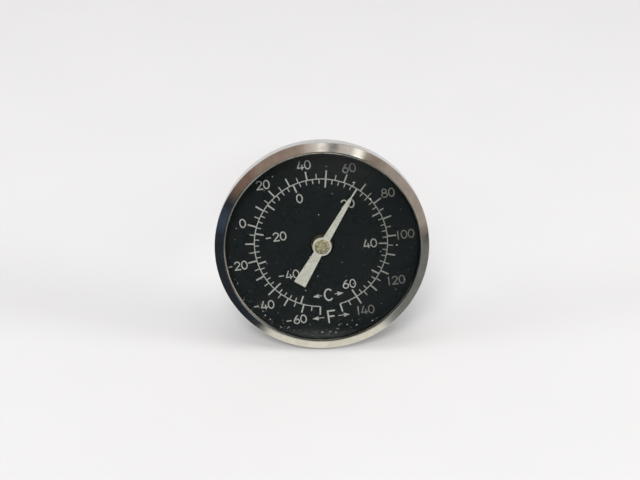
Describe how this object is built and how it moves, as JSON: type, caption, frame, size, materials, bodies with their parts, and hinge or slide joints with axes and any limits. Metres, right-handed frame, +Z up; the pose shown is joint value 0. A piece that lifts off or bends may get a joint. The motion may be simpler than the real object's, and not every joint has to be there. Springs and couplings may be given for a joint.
{
  "type": "dial thermometer",
  "caption": "Bimetal stem thermometer with a round black dual-scale dial, a polished steel bezel, a turning pointer and a calibration nut.",
  "frame": {"origin": "middle of the part's outline on the bench that it rests on, below the stem", "axes": "+Z up from the bench, -Y towards the reader, +Y towards the stem's tip, +X to the reader's right; the instrument's own axis leans back by 12.13 degrees in the YZ plane"},
  "size_m": [0.052, 0.121, 0.0516],
  "materials": {
    "bezel_steel": "polished stainless",
    "case_steel": "spun stainless",
    "stem_steel": "fine drawn stainless",
    "inner_steel": "plain",
    "window_glass": "clear",
    "rubber_seal": "matte",
    "black_paint": "satin black",
    "dial_ink": "printed, matte",
    "pointer_paint": "matte off-white",
    "brass": "dull",
    "bush_plastic": "matte",
    "bimetal": "rolled strip"
  },
  "bodies": {
    "head": {"bezel_ring": "bezel_steel", "lens": "window_glass", "lens_gasket": "rubber_seal", "spacer_ring": "black_paint", "dial_plate": "black_paint", "case_cup": "case_steel", "thrust_washer": "bush_plastic"},
    "probe": {"calibration_nut": "stem_steel", "back_seal": "rubber_seal", "friction_spring": "inner_steel", "retaining_ring": "inner_steel", "bearing_post": "brass", "spindle_bearing": "brass", "stem_tube": "stem_steel", "tip_plug": "stem_steel", "upper_guide_bush": "bush_plastic", "lower_guide_bush": "bush_plastic", "bimetal_helix": "bimetal", "helix_anchor": "inner_steel"},
    "movement": {"spindle": "inner_steel", "helix_collar": "inner_steel", "pointer_hub": "brass", "pointer": "pointer_paint", "hub_cap": "brass"}
  },
  "joints": [
    {"name": "calibration_turn", "type": "hinge", "parent": "head", "child": "probe", "pos_m": [0, -0.05176, 0.02562], "axis": [0, 0.9777, -0.2101], "continuous": true},
    {"name": "pointer_turn", "type": "hinge", "parent": "probe", "child": "movement", "pos_m": [0, -0.05176, 0.02562], "axis": [0, 0.9777, -0.2101], "range_deg": [-209.3, 133.2], "stiffness_Nm_per_rad": 0.0005, "deforming": ["bimetal_helix"]}
  ]
}
